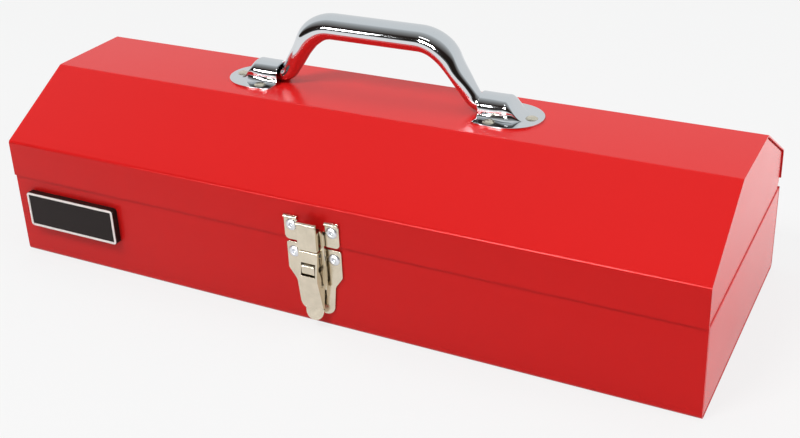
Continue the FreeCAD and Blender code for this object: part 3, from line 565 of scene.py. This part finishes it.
def rivet_group(node, body, finish, heads, axis, across):
    """Heads and tails of one group of rivets, placed where the CAD group's solids stand."""
    source = bmesh.new()
    source.from_mesh(frame["nodes"][node].data)
    bmesh.ops.remove_doubles(source, verts=source.verts, dist=MERGE)
    bm = bmesh.new()
    for island in islands(source):
        top = max(v.co.dot(axis) for v in island)
        tail = min(v.co.dot(axis) for v in island)
        middle = sum((v.co for v in island), Vector()) / len(island)
        middle = middle - axis * middle.dot(axis)
        base = top - max(height for radius, height in heads) * MM
        profile = [(radius * MM, height * MM) for radius, height in heads]
        depth = tail - base
        profile.append((SHANK * MM, 0.0))
        profile += [(radius * MM, depth + height * MM) for radius, height in BLIND_SIDE]
        if heads[0][0] > 0:
            profile = [(0.0, heads[0][1] * MM)] + profile
        spun(bm, profile, middle + axis * base, axis, across)
    source.free()
    settle(bm, node + "_set", finish, body, [node], 50.0)


def islands(bm):
    """Groups of joined vertices."""
    left = set(bm.verts)
    groups = []
    while left:
        stack = [left.pop()]
        group = []
        while stack:
            vertex = stack.pop()
            group.append(vertex)
            for edge in vertex.link_edges:
                other = edge.other_vert(vertex)
                if other in left:
                    left.remove(other)
                    stack.append(other)
        groups.append(group)
    return sorted(groups, key=lambda g: (round(g[0].co.x, 4), round(g[0].co.y, 4)))


class TOOLBOX_OT_rivets(bpy.types.Operator):
    """Sets the blind rivets of the latch and the domed rivets of the brackets"""
    bl_idname = "toolbox.rivets"
    bl_label = "Rivets"

    def execute(self, context):
        front, side, up = Vector((0, -1, 0)), Vector((1, 0, 0)), Vector((0, 0, 1))
        rivet_group("keeper_rivets", "lid", "rivet", BLIND_HEAD, front, side)
        rivet_group("latch_base_rivets", "box", "rivet", BLIND_HEAD, front, side)
        rivet_group("handle_rivets_left", "lid", "plated_rivet", DOMED_HEAD, up, side)
        rivet_group("handle_rivets_right", "lid", "plated_rivet", DOMED_HEAD, up, side)
        return {"FINISHED"}


# Latch, hinge pin and name plate

LATCH = {
    "keeper": "lid", "latch_base": "box", "padlock_staple": "box",
    "latch_lever": "lever", "latch_loop": "loop",
}
PLATE_EDGE = 0.4 * MM
LINE_EDGE = 0.15 * MM


class TOOLBOX_OT_latch(bpy.types.Operator):
    """Rounds and plates the stamped pieces of the draw latch"""
    bl_idname = "toolbox.latch"
    bl_label = "Draw latch"

    def execute(self, context):
        for node, body in LATCH.items():
            softened(node, node + "_plated", "nickel", body, sizes().latch_edge, 3)
        return {"FINISHED"}


class TOOLBOX_OT_name_plate(bpy.types.Operator):
    """Finishes the bare name plate and the raised line round it"""
    bl_idname = "toolbox.name_plate"
    bl_label = "Name plate"

    def execute(self, context):
        softened("badge_plate", "badge_plate_printed", "badge_print", "box", PLATE_EDGE, 3)
        softened("badge_border", "badge_border_inked", "badge_ink", "box", LINE_EDGE)
        return {"FINISHED"}


class TOOLBOX_OT_pins(bpy.types.Operator):
    """Gives the hinge pin and the lever's pin their drawn steel"""
    bl_idname = "toolbox.pins"
    bl_label = "Pins"

    def execute(self, context):
        for node in ("hinge_pin", "lever_pivot_pin"):
            mesh = frame["nodes"][node].data
            mesh.materials.clear()
            mesh.materials.append(finish_named("pin"))
        return {"FINISHED"}


# Stage

CAMERA_PLACE = Vector((0.352834, -0.634902, 0.415555))
CAMERA_AZIMUTH = 28.13
CAMERA_ELEVATION = 24.74
CAMERA_ROLL = -2.43
CAMERA_LENS = 54.32
CAMERA_SHIFT = -0.0863

# Tones of the studio by angle above the front horizon, about the box's length, and all the rest of it
STUDIO_TONES = (
    (-14, "#C8CCCE"), (-12, "#201A16"), (30, "#2A2320"), (38, "#5E5B59"), (58, "#8A8B8B"),
    (80, "#B6BABC"), (90, "#DDE2E4"),
)
STUDIO_REST = "#E4E6E7"

FLOOR_HALF = 6.0
# Where the white sweep ends for mirrors in front of the box, and over what length it fades there
SWEEP_FRONT = -0.85
SWEEP_FADE = 0.1
# The patch of floor behind the right end that glows brighter to mirrors, painted light that puts a sheen on
# the right end, from its edge to its full part
SWEEP_PATCH = (0.36, 0.5, 0.0)
PATCH_EDGE = 0.5
PATCH_FULL = 0.1
# How much the sweep glows instead of taking shadows
SWEEP_GLOW = 0.88

# Soft boxes that mirrors don't see: place, aim and span in metres, power in watts
SOFT_BOXES = {
    "overhead": ((-0.1, 0.25, 1.9), (0, 0, 0.08), (1.1, 0.9), 6.0),
    "front_key": ((-0.4, -1.2, 1.9), (0, 0, 0.08), (0.6, 0.6), 28.0),
    "right_side": ((1.6, -0.2, 0.9), (0.24, 0, 0.06), (1.0, 0.8), 12.0),
}
GRIP_GLINT = ((-0.25, -1.35, 1.5), (0.1, 0, 0.1), (0.55, 0.1), 1.4)
# Strips that only mirrors see
GLINTS = {
    "lid_bend_glint": ((-0.24, -1.38, 0.5), (0.1, -0.1, 0.08), (0.44, 0.2), 30.0),
    "latch_glint": ((-0.85, -1.38, 0.42), (0.1, -0.1, 0.08), (0.22, 0.2), 4.0),
}


def soft_box(name, place, aim, span, watts):
    """A rectangular soft light that points at a place."""
    lamp = bpy.data.lights.new(name, "AREA")
    lamp.shape = "RECTANGLE"
    lamp.size, lamp.size_y = span
    lamp.energy = watts
    holder = bpy.data.objects.new(name, lamp)
    holder.location = place
    holder.rotation_euler = (Vector(aim) - Vector(place)).to_track_quat("-Z", "Y").to_euler()
    bpy.context.scene.collection.objects.link(holder)
    return holder


def studio_world():
    """Studio seen by angle about the box's length: dark ahead, grey higher up, pale overhead and behind."""
    world = bpy.data.worlds.new("studio")
    world.use_nodes = True
    tree = world.node_tree
    back = tree.nodes["Background"]
    way = add(tree, "TexCoord").outputs["Generated"]
    parts = add(tree, "SeparateXYZ", (), {"Vector": way}).outputs
    ahead = add(tree, "Math", {"operation": "MULTIPLY", 1: -1.0}, {0: parts["Y"]})
    angle = add(tree, "Math", {"operation": "ARCTAN2"}, {0: parts["Z"], 1: ahead.outputs[0]})
    share = add(tree, "MapRange", {"From Min": -pi, "From Max": pi}, {"Value": angle.outputs[0]})
    ramp = add(tree, "ValToRGB", (), {"Fac": share.outputs["Result"]})
    stops = ramp.color_ramp.elements
    stops[0].position, stops[0].color = 0.0, linear(STUDIO_REST)
    stops[1].position, stops[1].color = 1.0, linear(STUDIO_REST)
    for degrees, tone in STUDIO_TONES:
        stop = stops.new((degrees + 180) / 360)
        stop.color = linear(tone)
    tree.links.new(ramp.outputs["Color"], back.inputs["Color"])
    bpy.context.scene.world = world


def floor_material():
    """Matt white sweep, pale to the camera and to mirrors near the box, dark to mirrors far in front."""
    material, tree, shader = new_material("white_sweep")
    shader.inputs["Base Color"].default_value = linear("#E4E4E4")
    shader.inputs["Roughness"].default_value = 0.9
    shader.inputs["Specular IOR Level"].default_value = 0.0
    place = add(tree, "TexCoord").outputs["Object"]
    ahead = add(tree, "SeparateXYZ", (), {"Vector": place}).outputs["Y"]
    near = add(tree, "MapRange", {"From Min": SWEEP_FRONT - SWEEP_FADE, "From Max": SWEEP_FRONT},
               {"Value": ahead})
    gap = add(tree, "VectorMath", {"operation": "DISTANCE", 1: SWEEP_PATCH}, {0: place})
    patch = add(tree, "MapRange", {"From Min": PATCH_EDGE, "From Max": PATCH_FULL},
                {"Value": gap.outputs["Value"]})
    bright = add(tree, "Math", {"operation": "ADD"},
                 {0: near.outputs["Result"], 1: patch.outputs["Result"]})
    path = add(tree, "LightPath").outputs
    watcher, mirror = path["Is Camera Ray"], path["Is Glossy Ray"]
    # Mirrors see the floor glow near the box and glow brighter in the patch, painted light for the right
    # end's sheen
    mirrored = add(tree, "Math", {"operation": "MULTIPLY"}, {0: bright.outputs[0], 1: mirror})
    seen = add(tree, "Math", {"operation": "ADD"}, {0: watcher, 1: mirrored.outputs[0]})
    glow = add(tree, "Emission", {"Color": linear("#F6F6F6")}, {"Strength": seen.outputs[0]})
    watched = add(tree, "Math", {"operation": "MAXIMUM"}, {0: watcher, 1: mirror})
    share = add(tree, "Math", {"operation": "MULTIPLY", 1: SWEEP_GLOW}, {0: watched.outputs[0]})
    blend = add(tree, "MixShader", (), {0: share.outputs[0], 1: shader.outputs[0], 2: glow.outputs[0]})
    tree.links.new(blend.outputs[0], tree.nodes["Material Output"].inputs["Surface"])
    return material


class TOOLBOX_OT_stage(bpy.types.Operator):
    """Sets the pale floor, the soft studio lights and the camera"""
    bl_idname = "toolbox.stage"
    bl_label = "Stage"

    def execute(self, context):
        bm = bmesh.new()
        bmesh.ops.create_grid(bm, x_segments=1, y_segments=1, size=FLOOR_HALF)
        mesh = bpy.data.meshes.new("floor")
        bm.to_mesh(mesh)
        bm.free()
        floor = bpy.data.objects.new("floor", mesh)
        context.scene.collection.objects.link(floor)
        mesh.materials.append(floor_material())
        studio_world()
        for name, lamp in SOFT_BOXES.items():
            soft_box(name, *lamp).visible_glossy = False
        soft_box("grip_glint", *GRIP_GLINT)
        for name, lamp in GLINTS.items():
            soft_box(name, *lamp).visible_diffuse = False
        lens = bpy.data.cameras.new("photo_camera")
        lens.lens = CAMERA_LENS
        lens.shift_y = CAMERA_SHIFT
        camera = bpy.data.objects.new("photo_camera", lens)
        camera.location = CAMERA_PLACE
        turn = Matrix.Rotation(radians(CAMERA_AZIMUTH), 3, "Z")
        turn = turn @ Matrix.Rotation(radians(90 - CAMERA_ELEVATION), 3, "X")
        turn = turn @ Matrix.Rotation(radians(CAMERA_ROLL), 3, "Z")
        camera.rotation_euler = turn.to_euler()
        context.scene.collection.objects.link(camera)
        context.scene.camera = camera
        context.scene.view_settings.view_transform = "Standard"
        return {"FINISHED"}


OPERATORS = [
    TOOLBOX_OT_enamelled_sheets, TOOLBOX_OT_handle, TOOLBOX_OT_brackets, TOOLBOX_OT_rivets,
    TOOLBOX_OT_latch, TOOLBOX_OT_name_plate, TOOLBOX_OT_pins, TOOLBOX_OT_stage,
]


class TOOLBOX_PT_panel(bpy.types.Panel):
    """Lists the tool box's pieces, sizes and colours"""
    bl_idname = "TOOLBOX_PT_panel"
    bl_label = "Tool box"
    bl_space_type = "VIEW_3D"
    bl_region_type = "UI"
    bl_category = "Tool box"

    def draw(self, context):
        column = self.layout.column()
        for operator in OPERATORS:
            column.operator(operator.bl_idname)
        for group in (context.scene.toolbox_sizes, context.scene.toolbox_finishes):
            for name in group.__annotations__:
                column.prop(group, name)


CLASSES = [ToolboxFinishes, ToolboxSizes, *OPERATORS, TOOLBOX_PT_panel]


def register():
    for made in CLASSES:
        bpy.utils.register_class(made)
    bpy.types.Scene.toolbox_finishes = PointerProperty(type=ToolboxFinishes)
    bpy.types.Scene.toolbox_sizes = PointerProperty(type=ToolboxSizes)


def unregister():
    del bpy.types.Scene.toolbox_sizes
    del bpy.types.Scene.toolbox_finishes
    for made in reversed(CLASSES):
        bpy.utils.unregister_class(made)


def main():
    register()
    for operator in OPERATORS:
        group, action = operator.bl_idname.split(".")
        getattr(getattr(bpy.ops, group), action)()


if __name__ == "__main__":
    main()
